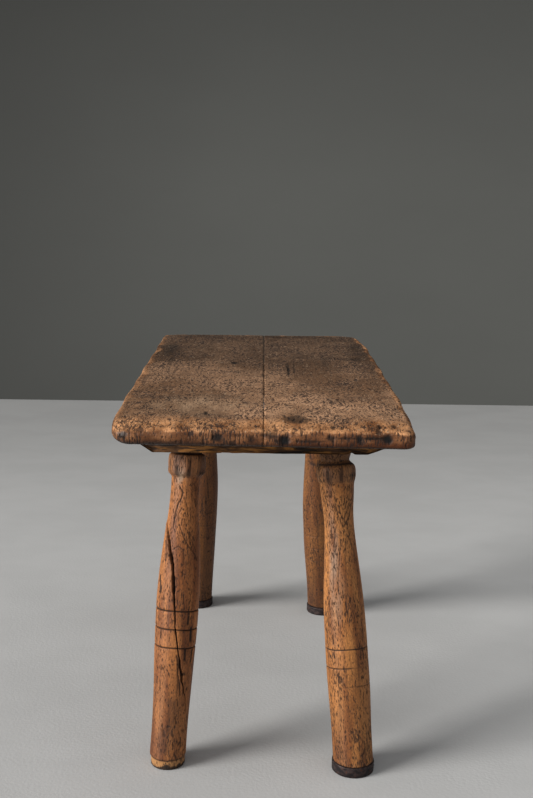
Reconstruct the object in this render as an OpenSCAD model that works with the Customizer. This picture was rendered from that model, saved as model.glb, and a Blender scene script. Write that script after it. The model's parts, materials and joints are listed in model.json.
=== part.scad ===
// Low bench stool: two seat boards held by two cross battens, on four turned,
// splayed legs. Three of the legs wear an iron ferrule; the fourth has lost its own.
//
// Millimetres. The origin is on the floor under the middle of the seat. +Y runs along
// the seat boards towards the rear end, +X across them to the right, +Z up.
// Lists of four values go: front left, front right, rear left, rear right.

/* [Seat] */
// Height of the seat above the floor
seat_height = 350; // [340:5:400]
// Length of the seat, along its boards
seat_length = 560; // [520:10:640]
// Width of the seat, across its boards
seat_width = 264; // [250:2:300]
// Thickness of the seat boards
board_thickness = 20; // [18:1:24]
// How far the seam between the boards lies to the right of the middle
seam_offset = 2; // [-10:1:10]
// Size of the worn bevel along each side of the seam
seam_bevel = 1.2; // [0.5:0.1:2]
// Radius of the worn top edge
top_edge_radius = 8; // [4:0.5:8]
// Radius of the worn bottom edge
bottom_edge_radius = 5; // [2:0.5:6]
// Radius of the two front corners, seen from above
front_corner_radius = 18; // [10:1:30]
// Radius of the two rear corners, seen from above
rear_corner_radius = 8; // [4:1:20]

/* [Battens] */
// Distance of each batten's centre line from the middle of the seat
batten_distance = 143; // [120:1:180]
// Length of a batten, across the seat
batten_length = 236; // [232:2:244]
// Width of a batten, along the seat
batten_width = 65; // [60:1:80]
// Thickness of a batten
batten_thickness = 30; // [26:1:34]
// Length of the bevel under each end of a batten
batten_bevel_length = 18; // [10:1:18]
// Height of the bevel under each end of a batten
batten_bevel_height = 9; // [4:1:12]

/* [Leg positions] */
// Distance of each foot from the middle line of the seat, sideways
foot_aside = [86, 91, 81, 82]; // [70:1:100]
// Distance of each foot from the middle of the seat, lengthways
foot_along = [197, 204, 212, 194]; // [180:1:230]
// Distance of each leg socket from the middle line of the seat, sideways
socket_aside = [70, 70, 67, 64]; // [62:1:72]

/* [Leg turning] */
// Radius of the leg just above the foot
foot_radius = [17.1, 19, 18, 19]; // [16:0.1:20]
// Largest radius, at the swell
swell_radius = [20.3, 20.3, 19.5, 20.8]; // [19:0.1:22]
// Place of the swell, as a share of the leg's length from the floor
swell_share = [0.48, 0.29, 0.45, 0.31]; // [0.25:0.01:0.55]
// How full the leg stays above the swell
swell_fullness = [1.25, 1.6, 1.4, 1.6]; // [1:0.05:2]
// Smallest radius, at the cove under the collar
cove_radius = [13.6, 14.2, 13.8, 14.2]; // [12.5:0.1:15]
// Place of the cove, as a share of the leg's length from the floor
cove_share = [0.87, 0.775, 0.85, 0.785]; // [0.75:0.005:0.87]
// Radius of the leg where it meets the underside of the collar
under_collar_radius = [13.8, 16.4, 14, 16.2]; // [13:0.1:17]
// Radius of the collar
collar_radius = [17.8, 18.9, 17.8, 18.6]; // [17:0.1:20]
// Distance of the collar's middle from the batten, along the leg
collar_drop = [18, 24, 21, 22]; // [16:0.5:25]
// Half the collar's height
collar_half_height = [10.5, 9.5, 10, 9.5]; // [8:0.5:10.5]
// Shape of the collar's outline, from a round bead at 2 to a flat band at 6
collar_squareness = [5, 2.6, 4, 2.6]; // [2:0.2:6]
// Radius of the neck where it meets the batten
neck_flare_radius = 16; // [14:0.5:18]

/* [Rings] */
// Place of the middle one of three turned rings, as a share of the leg's length from the floor
ring_share = [0.432, 0.324, 0.42, 0.328]; // [0.25:0.002:0.5]
// Distance from one ring to the next
ring_spacing = 17.5; // [12:0.5:20]
// Depth of each ring's groove
ring_depth = 0.8; // [0.4:0.1:1.5]

/* [Joints] */
// Radius of the round tenon at the top of each leg
tenon_radius = 12; // [10:0.5:12]
// How far each tenon reaches up into its seat board
tenon_board_depth = 10; // [6:1:12]
// Height of a ferrule, and of the reduced foot that it fits
ferrule_height = 10; // [8:1:14]
// Wall thickness of a ferrule
ferrule_wall = 2.5; // [1.5:0.1:3]
// How much smaller the reduced foot is than the leg above it
foot_shoulder = 1; // [0.8:0.1:1.2]

/* [Nails] */
// Thickness of a nail's square shank
nail_shank = 3.6; // [3:0.1:5]
// Radius of a nail's head
nail_head_radius = 4.5; // [3.5:0.1:6]
// Height of a nail's head
nail_head_height = 2.2; // [1.5:0.1:3]
// How far each nail reaches up into its seat board
nail_board_depth = 12; // [8:1:14]
// Distance of the two inner nails of a batten from the middle line of the seat
inner_nail_aside = 40; // [34:1:46]
// Distance of the two outer nails of a batten from the middle line of the seat
outer_nail_aside = 93; // [88:1:93]
// Distance of the nails from the batten's centre line
nail_stagger = 18; // [14:1:20]

/* [Hidden] */
$fn = 96;

BOARD_COLOR = [0.42, 0.31, 0.22];
BATTEN_COLOR = [0.37, 0.24, 0.12];
LEG_COLOR = [0.60, 0.43, 0.28];
IRON_COLOR = [0.17, 0.15, 0.15];

// The legs, as indexes into every list of four
FRONT_LEFT = 0;
FRONT_RIGHT = 1;
REAR_LEFT = 2;
REAR_RIGHT = 3;
ASIDE_SIGN = [-1, 1, -1, 1];
ALONG_SIGN = [-1, -1, 1, 1];
FRONT = -1;
REAR = 1;

board_underside = seat_height - board_thickness;
batten_underside = board_underside - batten_thickness;
// Straight stretch of the leg above its foot
foot_straight = 30;
// Steps along the leg's outline, and degrees between points of the collar's outline
shaft_steps = 30;
collar_step = 15;
// Steps along the flare of the neck
neck_steps = 6;
// A cutting body reaches this far past what it cuts
cut_margin = 20;
// Bodies that are one piece of wood or iron reach this far into each other
foot_overlap = 2;
tenon_overlap = 6;
nail_overlap = 1;

// Centre of each foot at the top of its ferrule, and of each socket's mouth
function foot_point(leg) = [
    ASIDE_SIGN[leg] * foot_aside[leg],
    ALONG_SIGN[leg] * foot_along[leg],
    ferrule_height
];
function socket_point(leg) = [
    ASIDE_SIGN[leg] * socket_aside[leg],
    ALONG_SIGN[leg] * batten_distance,
    batten_underside
];

// The leg's axis from foot to socket, and its length for each millimetre of height
function leg_run(leg) = socket_point(leg) - foot_point(leg);
function slant(leg) = norm(leg_run(leg)) / leg_run(leg).z;
function floor_point(leg) = foot_point(leg) - leg_run(leg) * ferrule_height / leg_run(leg).z;
function leg_length(leg) = batten_underside * slant(leg);

// Places along the leg, and the radius of its reduced foot
function swell_place(leg) = swell_share[leg] * leg_length(leg);
function cove_place(leg) = cove_share[leg] * leg_length(leg);
function ring_place(leg) = ring_share[leg] * leg_length(leg);
function collar_place(leg) = leg_length(leg) - collar_drop[leg];
function collar_bottom(leg) = collar_place(leg) - collar_half_height[leg];
function collar_top(leg) = collar_place(leg) + collar_half_height[leg];
function spigot_radius(leg) = foot_radius[leg] - foot_shoulder;

function between(low, high, share) = low + (high - low) * share;
function ease(share) = (1 - cos(180 * share)) / 2;

// Radius of the leg at a distance along it, up to the underside of the collar
function foot_to_swell(leg, along) =
    between(foot_radius[leg], swell_radius[leg],
            ease((along - foot_straight) / (swell_place(leg) - foot_straight)));
function swell_to_cove(leg, along) =
    between(swell_radius[leg], cove_radius[leg],
            ease(pow((along - swell_place(leg)) / (cove_place(leg) - swell_place(leg)),
                     swell_fullness[leg])));
function cove_to_collar(leg, along) =
    between(cove_radius[leg], under_collar_radius[leg],
            ease((along - cove_place(leg)) / (collar_bottom(leg) - cove_place(leg))));
function shaft_radius(leg, along) =
    along < swell_place(leg) ? foot_to_swell(leg, along)
    : along < cove_place(leg) ? swell_to_cove(leg, along)
    : cove_to_collar(leg, along);

// Outlines as points of [radius, distance along the leg]
function shaft_outline(leg) = [
    for (step = [0 : shaft_steps])
        let (along = between(foot_straight, collar_bottom(leg), step / shaft_steps))
            [shaft_radius(leg, along), along]
];
function collar_outline(leg) = [
    for (angle = [-90 + collar_step : collar_step : 90])
        let (power = 2 / collar_squareness[leg],
             rise = sign(angle) * pow(abs(sin(angle)), power),
             core = between(under_collar_radius[leg], tenon_radius, (rise + 1) / 2))
            [between(core, collar_radius[leg], pow(abs(cos(angle)), power)),
             collar_place(leg) + rise * collar_half_height[leg]]
];
function neck_outline(leg) = [
    for (step = [1 : neck_steps])
        [between(tenon_radius, neck_flare_radius, sin(90 * step / neck_steps)),
         between(collar_top(leg), leg_length(leg), step / neck_steps)]
];
function turned_outline(leg) = concat(
    [[0, -cut_margin], [foot_radius[leg], -cut_margin]],
    shaft_outline(leg),
    collar_outline(leg),
    neck_outline(leg),
    [[neck_flare_radius, leg_length(leg) + cut_margin], [0, leg_length(leg) + cut_margin]]
);

// Stands its children, drawn along +Z from the floor, on a leg's axis, leaning but not twisted
module on_leg_axis(leg) {
    run = leg_run(leg);
    lean = acos(run.z / norm(run));
    lean_direction = atan2(run.y, run.x);
    translate(floor_point(leg))
        rotate([0, lean, lean_direction])
            rotate([0, 0, -lean_direction])
                children();
}

// The space between two heights, wide enough for every part
module layer(low, high) {
    translate([-seat_width, -seat_length, low])
        cube([2 * seat_width, 2 * seat_length, high - low]);
}

module turned_rings(leg) {
    for (place = [-1, 0, 1]) {
        along = ring_place(leg) + place * ring_spacing;
        rotate_extrude()
            translate([shaft_radius(leg, along), along])
                rotate(45)
                    square(ring_depth * sqrt(2), center = true);
    }
}

module tenon(leg) {
    root = leg_length(leg) - tenon_overlap;
    tip = (board_underside + tenon_board_depth) * slant(leg);
    on_leg_axis(leg)
        translate([0, 0, root])
            cylinder(h = tip - root, r = tenon_radius);
}

module spigot(leg, height) {
    translate([foot_point(leg).x, foot_point(leg).y, 0])
        cylinder(h = height, r = spigot_radius(leg));
}

module turned_leg(leg) {
    color(LEG_COLOR) union() {
        intersection() {
            on_leg_axis(leg)
                difference() {
                    rotate_extrude() polygon(turned_outline(leg));
                    turned_rings(leg);
                }
            layer(ferrule_height, batten_underside);
        }
        tenon(leg);
        spigot(leg, ferrule_height + foot_overlap);
    }
}

module ferrule(leg) {
    color(IRON_COLOR)
        difference() {
            translate([foot_point(leg).x, foot_point(leg).y, 0])
                cylinder(h = ferrule_height, r = spigot_radius(leg) + ferrule_wall);
            translate([0, 0, -cut_margin])
                spigot(leg, ferrule_height + 2 * cut_margin);
        }
}

// A board's outline: a rectangle whose two lower and two upper corners have a radius each
module rounded_outline(length, height, low_radius, high_radius) {
    for (side = [0, 1])
        translate([side * length, 0])
            mirror([side, 0]) {
                translate([low_radius, low_radius]) circle(low_radius);
                translate([high_radius, height - high_radius]) circle(high_radius);
            }
    translate([0, low_radius]) square([length, height - low_radius - high_radius]);
    translate([low_radius, 0]) square([length - 2 * low_radius, height / 2]);
    translate([high_radius, height / 2]) square([length - 2 * high_radius, height / 2]);
}

module board_edge_outline(length) {
    rounded_outline(length, board_thickness, bottom_edge_radius, top_edge_radius);
}

// Both boards as one, worn round along every edge and corner
module seat_slab() {
    translate([-seat_width / 2, -seat_length / 2, board_underside])
        intersection() {
            linear_extrude(board_thickness)
                rounded_outline(seat_width, seat_length, front_corner_radius, rear_corner_radius);
            translate([0, seat_length, 0])
                rotate([90, 0, 0])
                    linear_extrude(seat_length) board_edge_outline(seat_width);
            rotate([90, 0, 90])
                linear_extrude(seat_width) board_edge_outline(seat_length);
        }
}

// Everything on one side of the seam, with the bevel along the seam's top edge
module seam_side(side) {
    translate([seam_offset, 0, 0])
        mirror([side < 0 ? 1 : 0, 0, 0])
            translate([0, seat_length, 0])
                rotate([90, 0, 0])
                    linear_extrude(2 * seat_length)
                        polygon([
                            [0, 0],
                            [seat_width, 0],
                            [seat_width, seat_height + cut_margin],
                            [seam_bevel + cut_margin, seat_height + cut_margin],
                            [0, seat_height - seam_bevel]
                        ]);
}

module nail() {
    shank_length = nail_overlap + batten_thickness + nail_board_depth;
    translate([-nail_shank / 2, -nail_shank / 2, -nail_overlap])
        cube([nail_shank, nail_shank, shank_length]);
    translate([0, 0, -nail_head_height])
        cylinder(h = nail_head_height, r1 = nail_head_radius / 2, r2 = nail_head_radius);
}

// The four nails of one batten, staggered about its centre line
module nail_row(end) {
    translate([0, end * batten_distance, batten_underside])
        for (side = [-1, 1]) {
            translate([side * inner_nail_aside, side * nail_stagger, 0]) nail();
            translate([side * outer_nail_aside, -side * nail_stagger, 0]) nail();
        }
}

module seat_board(side, board_legs) {
    color(BOARD_COLOR)
        difference() {
            intersection() {
                seat_slab();
                seam_side(side);
            }
            for (leg = board_legs) tenon(leg);
            nail_row(FRONT);
            nail_row(REAR);
        }
}

module batten(end, end_legs) {
    half = batten_length / 2;
    inner_half = half - batten_bevel_length;
    color(BATTEN_COLOR)
        difference() {
            translate([0, end * batten_distance + batten_width / 2, batten_underside])
                rotate([90, 0, 0])
                    linear_extrude(batten_width)
                        polygon([
                            [-inner_half, 0],
                            [inner_half, 0],
                            [half, batten_bevel_height],
                            [half, batten_thickness],
                            [-half, batten_thickness],
                            [-half, batten_bevel_height]
                        ]);
            for (leg = end_legs) tenon(leg);
            nail_row(end);
        }
}

module batten_nails(end) {
    color(IRON_COLOR) nail_row(end);
}

seat_board(-1, [FRONT_LEFT, REAR_LEFT]);  // seat_board_left
seat_board(1, [FRONT_RIGHT, REAR_RIGHT]);  // seat_board_right
batten(FRONT, [FRONT_LEFT, FRONT_RIGHT]);  // batten_front
batten(REAR, [REAR_LEFT, REAR_RIGHT]);  // batten_rear
turned_leg(FRONT_LEFT);  // leg_front_left
turned_leg(FRONT_RIGHT);  // leg_front_right
turned_leg(REAR_LEFT);  // leg_rear_left
turned_leg(REAR_RIGHT);  // leg_rear_right
ferrule(FRONT_RIGHT);  // ferrule_front_right
ferrule(REAR_LEFT);  // ferrule_rear_left
ferrule(REAR_RIGHT);  // ferrule_rear_right
batten_nails(FRONT);  // batten_nails_front
batten_nails(REAR);  // batten_nails_rear
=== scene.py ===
"""An old wooden milking stool: two worn seat boards on two rough battens, held up by four
turned legs, three of them in iron ferrules. Points are in the CAD frame, in millimetres until
a mesh is made of them. The camera, the stage and the materials are in metres."""

import itertools
import json
import math

import bmesh
import bpy
import numpy as np
from mathutils import Matrix, Vector


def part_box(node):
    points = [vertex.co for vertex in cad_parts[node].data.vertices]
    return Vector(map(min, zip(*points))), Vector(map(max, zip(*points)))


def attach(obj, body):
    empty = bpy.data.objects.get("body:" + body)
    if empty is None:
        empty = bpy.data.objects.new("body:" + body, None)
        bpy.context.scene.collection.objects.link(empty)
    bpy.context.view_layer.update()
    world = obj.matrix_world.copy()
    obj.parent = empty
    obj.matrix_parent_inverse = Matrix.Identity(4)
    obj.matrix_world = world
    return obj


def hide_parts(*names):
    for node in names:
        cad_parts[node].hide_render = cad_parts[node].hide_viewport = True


# Metres in a millimetre, and the smallest length to divide by
METRES = 0.001
TINY = 1e-9
LEGS = ("front_left", "front_right", "rear_left", "rear_right")
SHOD_LEGS = ("front_right", "rear_left", "rear_right")

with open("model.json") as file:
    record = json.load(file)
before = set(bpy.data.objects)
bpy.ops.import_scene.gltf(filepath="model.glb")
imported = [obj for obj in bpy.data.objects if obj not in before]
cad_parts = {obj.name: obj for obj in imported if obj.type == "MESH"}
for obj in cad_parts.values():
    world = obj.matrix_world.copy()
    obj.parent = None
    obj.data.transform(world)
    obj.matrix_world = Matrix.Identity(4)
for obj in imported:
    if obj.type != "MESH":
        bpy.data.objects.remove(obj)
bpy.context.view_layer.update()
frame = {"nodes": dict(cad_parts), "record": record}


# ---------------- numbers and noise

def node_box(node):
    """The lowest and highest corner of a CAD node, in millimetres."""
    low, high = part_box(node)
    return np.array(low) / METRES, np.array(high) / METRES


def ramp(value, start, end):
    """Rises smoothly from 0 at start to 1 at end."""
    share = np.clip((value - start) / (end - start), 0, 1)
    return share * share * (3 - 2 * share)


def hump(value, centre, width):
    """1 at centre, fading out over about twice the width."""
    return np.exp(-(((value - centre) / width) ** 2))


NOISE_COUNT = 4096
NOISE_VALUES = np.random.default_rng(11).uniform(-1, 1, NOISE_COUNT)
# Large odd numbers that scatter neighbouring cells, and neighbouring seeds, over the values
CELL_SCATTER = (73856093, 19349663, 83492791)
SEED_SCATTER = 40503
OCTAVES = 3


def lattice_value(cell, seed):
    """The random value, from -1 to 1, that a seed gives each whole-numbered cell."""
    x, y, z = (cell * CELL_SCATTER).T
    mixed = x ^ y ^ z ^ (seed * SEED_SCATTER)
    return NOISE_VALUES[(mixed ^ (mixed >> 12)) % NOISE_COUNT]


def noise(points, size, seed):
    """Smooth noise from -1 to 1, another pattern for each seed. Size is the size of its lumps,
    as one number or x, y, z."""
    scaled = points / np.array(size, float)
    cell = np.floor(scaled).astype(np.int64)
    share = scaled - cell
    share = share * share * (3 - 2 * share)
    total = np.zeros(len(points))
    for corner in itertools.product((0, 1), repeat=3):
        weight = np.prod(np.where(corner, share, 1 - share), axis=1)
        total += weight * lattice_value(cell + np.array(corner), seed)
    return total


def rough_noise(points, size, seed):
    """Noise from about -1 to 1, with finer and weaker noise on top."""
    total = np.zeros(len(points))
    for octave in range(OCTAVES):
        total += noise(points, np.array(size, float) / 2**octave, seed + octave) / 2**octave
    return total / 1.5


# ---------------- meshes

def make_piece(name, points, faces, material, replaced, attributes):
    """A finished piece that replaces a CAD node, with a float or vector attribute per name."""
    mesh = bpy.data.meshes.new(name)
    mesh.from_pydata((points * METRES).tolist(), [], faces)
    outward = bmesh.new()
    outward.from_mesh(mesh)
    bmesh.ops.recalc_face_normals(outward, faces=outward.faces)
    outward.to_mesh(mesh)
    outward.free()
    mesh.shade_smooth()
    for attribute, values in attributes.items():
        kind, field = ("FLOAT", "value") if values.ndim == 1 else ("FLOAT_VECTOR", "vector")
        layer = mesh.attributes.new(attribute, kind, "POINT")
        layer.data.foreach_set(field, values.astype(np.float32).ravel())
    mesh.materials.append(material)
    piece = bpy.data.objects.new(name, mesh)
    bpy.context.scene.collection.objects.link(piece)
    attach(piece, "root")
    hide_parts(replaced)


def sheet_faces(sheet):
    """Quads between neighbouring points of a grid of point numbers."""
    corners = [sheet[:-1, :-1], sheet[1:, :-1], sheet[1:, 1:], sheet[:-1, 1:]]
    return np.stack(corners, -1).reshape(-1, 4).tolist()


def coarse_sheet_faces(sheet, step):
    """Larger faces over a grid that is numbered only at every step-th line and at its rim."""
    faces = []
    for row in range(0, sheet.shape[0] - 1, step):
        for column in range(0, sheet.shape[1] - 1, step):
            walk = [(row + k, column) for k in range(step)]
            walk += [(row + step, column + k) for k in range(step)]
            walk += [(row + step - k, column + step) for k in range(step)]
            walk += [(row, column + step - k) for k in range(step)]
            faces.append([int(sheet[spot]) for spot in walk if sheet[spot] >= 0])
    return faces


def block_lattice(xs, ys, zs, coarse):
    """The surface of a block, as points and faces on the lines xs, ys and zs. Its underside
    has only every coarse-th line, so len(xs) - 1 and len(ys) - 1 divide by coarse."""
    shape = (len(xs), len(ys), len(zs))
    kept = np.ones(shape, bool)
    kept[1:-1, 1:-1, 1:-1] = False
    skipped = np.ones(shape[:2], bool)
    skipped[::coarse, ::coarse] = False
    skipped[[0, -1], :] = False
    skipped[:, [0, -1]] = False
    kept[:, :, 0] &= ~skipped
    number = np.where(kept, np.cumsum(kept).reshape(shape) - 1, -1)
    points = np.stack(np.meshgrid(xs, ys, zs, indexing="ij"), -1)[kept]
    faces = coarse_sheet_faces(number[:, :, 0], coarse)
    for sheet in (number[:, :, -1], number[0], number[-1], number[:, 0], number[:, -1]):
        faces += sheet_faces(sheet)
    return points, faces


def lines(low, high, spacing, multiple, near_low=(0,), near_high=(0,)):
    """Lines from low to high: some at given distances from either end, and even ones between
    the last of them. The number of gaps divides by multiple."""
    starts, ends = low + np.array(near_low), high - np.array(near_high)
    gaps = round((ends[-1] - starts[-1]) / spacing)
    gaps += -(gaps + len(near_low) + len(near_high) - 2) % multiple
    middle = np.linspace(starts[-1], ends[-1], gaps + 1)
    return np.concatenate([starts[:-1], middle, ends[-2::-1]])


def rounded(a, b):
    """Moves points of a square corner, a and b past its core, onto circles round the core."""
    scale = np.maximum(a, b) / np.maximum(np.hypot(a, b), TINY)
    return a * scale, b * scale


# ---------------- shader building

def srgb(red, green, blue):
    """A colour given as it looks on a screen, from 0 to 255, as the shader wants it."""
    def linear(level):
        level /= 255
        return level / 12.92 if level <= 0.04045 else ((level + 0.055) / 1.055) ** 2.4
    return (linear(red), linear(green), linear(blue), 1)


class Shader:
    """One material, built from nodes. Its methods take sockets or plain values, and all but
    fill and finish give back the socket that they make."""

    def __init__(self, name):
        self.material = bpy.data.materials.new(name)
        self.material.use_nodes = True
        self.tree = self.material.node_tree

    def fill(self, socket, value):
        """Links a socket to the one that feeds it, or sets it to a plain value."""
        if isinstance(value, bpy.types.NodeSocket):
            self.tree.links.new(value, socket)
        else:
            socket.default_value = value

    def add(self, kind, inputs, output, **settings):
        """Adds a node and gives back one of its outputs."""
        node = self.tree.nodes.new("ShaderNode" + kind)
        for name, value in settings.items():
            setattr(node, name, value)
        for name, value in inputs.items():
            self.fill(node.inputs[name], value)
        return node.outputs[output]

    def place(self):
        """Where a point of the surface is."""
        return self.add("TexCoord", {}, "Object")

    def attribute(self, name, output="Fac"):
        """A float or vector that the mesh holds for each of its points."""
        return self.add("Attribute", {}, output, attribute_name=name)

    def vector(self, operation, first, second, output=0):
        """A sum, difference or product of vectors."""
        return self.add("VectorMath", {0: first, 1: second}, output, operation=operation)

    def along(self, place, direction):
        """How far a place lies along a direction."""
        return self.vector("DOT_PRODUCT", place, direction, "Value")

    def math(self, operation, first, second=0.0):
        """The result of an operation on numbers."""
        return self.add("Math", {0: first, 1: second}, 0, operation=operation)

    def plus(self, first, second):
        return self.math("ADD", first, second)

    def minus(self, first, second):
        return self.math("SUBTRACT", first, second)

    def times(self, first, second):
        return self.math("MULTIPLY", first, second)

    def larger(self, first, second):
        return self.math("MAXIMUM", first, second)

    def noise(self, place, per_metre, detail=3.0, roughness=0.5):
        """Noise from 0 to 1, with this many lumps to the metre along x, y and z."""
        inputs = {"Vector": self.vector("MULTIPLY", place, per_metre), "Scale": 1.0}
        inputs |= {"Detail": detail, "Roughness": roughness}
        return self.add("TexNoise", inputs, "Fac")

    def dots(self, place, per_metre):
        """The distance to the nearest of many scattered spots."""
        inputs = {"Vector": self.vector("MULTIPLY", place, per_metre), "Scale": 1.0}
        return self.add("TexVoronoi", inputs, "Distance")

    def ramp(self, value, start, end, low=0.0, high=1.0):
        """Goes smoothly from low at start to high at end."""
        inputs = {"Value": value, "From Min": start, "From Max": end}
        inputs |= {"To Min": low, "To Max": high}
        return self.add("MapRange", inputs, "Result", interpolation_type="SMOOTHSTEP")

    def mix(self, share, first, second, blend="MIX"):
        """The first colour, with this share of the second over it."""
        inputs = {"Factor": share, 6: first, 7: second}
        return self.add("Mix", inputs, 2, data_type="RGBA", blend_type=blend)

    def tint(self, colour, tint):
        """A colour multiplied by another colour or by a number."""
        return self.mix(1.0, colour, tint, blend="MULTIPLY")

    def finish(self, colour, roughness, height, depth, specular=0.3, metallic=0.0):
        """The material with its surface filled in, and a bump of depth metres."""
        bump = {"Height": height, "Distance": depth, "Strength": 1.0}
        surface = {
            "Base Color": colour,
            "Roughness": roughness,
            "Normal": self.add("Bump", bump, "Normal"),
            "Specular IOR Level": specular,
            "Metallic": metallic,
        }
        for name, value in surface.items():
            self.fill(self.tree.nodes["Principled BSDF"].inputs[name], value)
        return self.material


# ---------------- camera, light and stage

# The camera's place in metres, its heading, fall and roll in degrees, and its lens in mm
CAMERA_PLACE = Vector((0, -1.175, 0.547))
CAMERA_HEADING = 89.76
CAMERA_FALL = 11.03
CAMERA_ROLL = 0.75
CAMERA_LENS = 49.98


def aim(heading, fall, roll=0):
    """Points -Z along a heading, in degrees from +X towards +Y, and down by fall degrees."""
    turn = Matrix.Rotation(math.radians(heading - 90), 4, "Z")
    turn @= Matrix.Rotation(math.radians(90 - fall), 4, "X")
    return turn @ Matrix.Rotation(math.radians(roll), 4, "Z")


def make_camera():
    """The camera, in front of the stool and looking a little down at it."""
    lens = bpy.data.cameras.new("camera")
    lens.lens = CAMERA_LENS
    camera = bpy.data.objects.new("camera", lens)
    turn = aim(CAMERA_HEADING, CAMERA_FALL, CAMERA_ROLL)
    camera.matrix_world = Matrix.Translation(CAMERA_PLACE) @ turn
    bpy.context.scene.collection.objects.link(camera)
    bpy.context.scene.camera = camera


def make_sun(name, heading, fall, softness, strength, colour):
    """A soft lamp that shines everywhere in one direction."""
    lamp = bpy.data.lights.new(name, "SUN")
    lamp.angle = math.radians(softness)
    lamp.energy = strength
    lamp.color = colour
    holder = bpy.data.objects.new(name, lamp)
    holder.matrix_world = aim(heading, fall)
    bpy.context.scene.collection.objects.link(holder)


def make_world(colour, strength):
    """Even light from all round."""
    world = bpy.data.worlds.new("studio")
    world.use_nodes = True
    background = world.node_tree.nodes["Background"]
    background.inputs["Color"].default_value = colour
    background.inputs["Strength"].default_value = strength
    bpy.context.scene.world = world


def make_stage(name, corners, material):
    """A flat sheet of the stage, from its corners."""
    mesh = bpy.data.meshes.new(name)
    mesh.from_pydata(corners, [], [(0, 1, 2, 3)])
    mesh.materials.append(material)
    sheet = bpy.data.objects.new(name, mesh)
    bpy.context.scene.collection.objects.link(sheet)


def wall_material():
    """Grey paint, with painted shade darkening it towards its left and its top."""
    paint = Shader("grey_wall")
    place = paint.place()
    # Painted shade: the paint darkens towards the left and towards the top
    aside = paint.ramp(paint.along(place, (1, 0, 0)), -0.9, 0.1, 0.6, 1.0)
    above = paint.ramp(paint.along(place, (0, 0, 1)), 0.35, 1.3, 1.0, 0.55)
    shade = paint.times(aside, above)
    brushed = paint.noise(place, (1.5, 1.5, 3), detail=4.0)
    shade = paint.times(shade, paint.ramp(brushed, 0.2, 0.8, 0.95, 1.05))
    colour = paint.tint(srgb(86, 87, 84), shade)
    grain = paint.noise(place, (400, 400, 400), detail=2.0)
    return paint.finish(colour, 0.9, grain, 0.0002)


def floor_material():
    """Pale polished concrete with faint clouds, and painted shade darkening it towards the wall."""
    concrete = Shader("pale_floor")
    place = concrete.place()
    clouds = concrete.noise(place, (6, 9, 6), detail=6.0, roughness=0.6)
    cloudy = concrete.ramp(clouds, 0.35, 0.65)
    colour = concrete.mix(cloudy, srgb(186, 186, 185), srgb(191, 191, 190))
    # Painted shade: the floor darkens towards the wall
    back = concrete.ramp(concrete.along(place, (0, 1, 0)), 0.2, 1.6, 1.0, 0.62)
    colour = concrete.tint(colour, back)
    grain = concrete.noise(place, (300, 300, 300), detail=2.0)
    return concrete.finish(colour, 0.8, grain, 0.0002)


# Half the floor's width, how far behind the stool the wall stands, and the wall's height
STAGE_REACH = 8
WALL_DISTANCE = 1.585
WALL_HEIGHT = 4


def make_studio():
    """The floor, the wall and the light."""
    left, right, back, top = -STAGE_REACH, STAGE_REACH, WALL_DISTANCE, WALL_HEIGHT
    floor = [(left, left, 0), (right, left, 0), (right, right, 0), (left, right, 0)]
    wall = [(left, back, 0), (right, back, 0), (right, back, top), (left, back, top)]
    make_stage("floor", floor, floor_material())
    make_stage("wall", wall, wall_material())
    make_world((0.97, 0.98, 1.0, 1), 0.5)
    warm = (1.0, 0.98, 0.95)
    make_sun("window", heading=23, fall=20, softness=28, strength=4.6, colour=warm)
    bpy.context.scene.view_settings.view_transform = "Standard"


# ---------------- sizes of the CAD model

BOARDS = ("left", "right")
SEAT_LOW = np.minimum(*(node_box(f"seat_board_{side}")[0] for side in BOARDS))
SEAT_HIGH = np.maximum(*(node_box(f"seat_board_{side}")[1] for side in BOARDS))
SEAT_MIDDLE = (SEAT_LOW + SEAT_HIGH) / 2
SEAT_HALF = (SEAT_HIGH - SEAT_LOW) / 2
SEAM = node_box("seat_board_left")[1][0]
UNDERSIDE = node_box("batten_front")[0][2]
FOOT_TOP = node_box("ferrule_front_right")[1][2]

# How far from a joint a vertex is, to count as the tenon's in the seat, or the shaft's
TENON_MARGIN = 5
SHAFT_MARGIN = 0.5


class LegAxis:
    """Where a leg stands and leans, and how it is turned, read from its CAD node. Distances
    along it start where its axis meets the floor."""

    def __init__(self, leg):
        mounts = {mount["name"]: mount for mount in frame["record"]["mounts"]}
        self.foot = np.array(mounts[f"foot_{leg}"]["pos_m"]) / METRES
        vertices = frame["nodes"][f"leg_{leg}"].data.vertices
        corners = np.array([vertex.co for vertex in vertices]) / METRES
        height = corners[:, 2]
        in_seat = height > SEAT_LOW[2] + TENON_MARGIN
        tip = corners[in_seat]
        start = self.foot + (0, 0, FOOT_TOP)
        run = (tip.min(0) + tip.max(0)) / 2 - start
        self.direction = run / np.linalg.norm(run)
        self.floor = start - self.direction * FOOT_TOP / self.direction[2]
        self.foot_end = FOOT_TOP / self.direction[2]
        self.length = UNDERSIDE / self.direction[2]
        self.socket = self.at(self.length)
        self.tip = (tip.mean(0) - self.floor) @ self.direction
        along = (corners - self.floor) @ self.direction
        radius = np.linalg.norm(corners - self.floor - along[:, None] * self.direction, axis=1)
        shaft = (height > FOOT_TOP + SHAFT_MARGIN) & (height < UNDERSIDE - SHAFT_MARGIN)
        order = np.argsort(along[shaft])
        self.outline = along[shaft][order], radius[shaft][order]
        self.foot_radius = np.hypot(*(corners[height < SHAFT_MARGIN] - self.foot)[:, :2].T).max()
        self.tenon_radius = radius[in_seat].max()

    def at(self, along):
        """The places on the axis at some distances along it."""
        return self.floor + self.direction * np.asarray(along)[..., None]


AXES = {leg: LegAxis(leg) for leg in LEGS}


# ---------------- seat

# Half the gap between the boards
SEAM_GAP = 0.2
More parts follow.
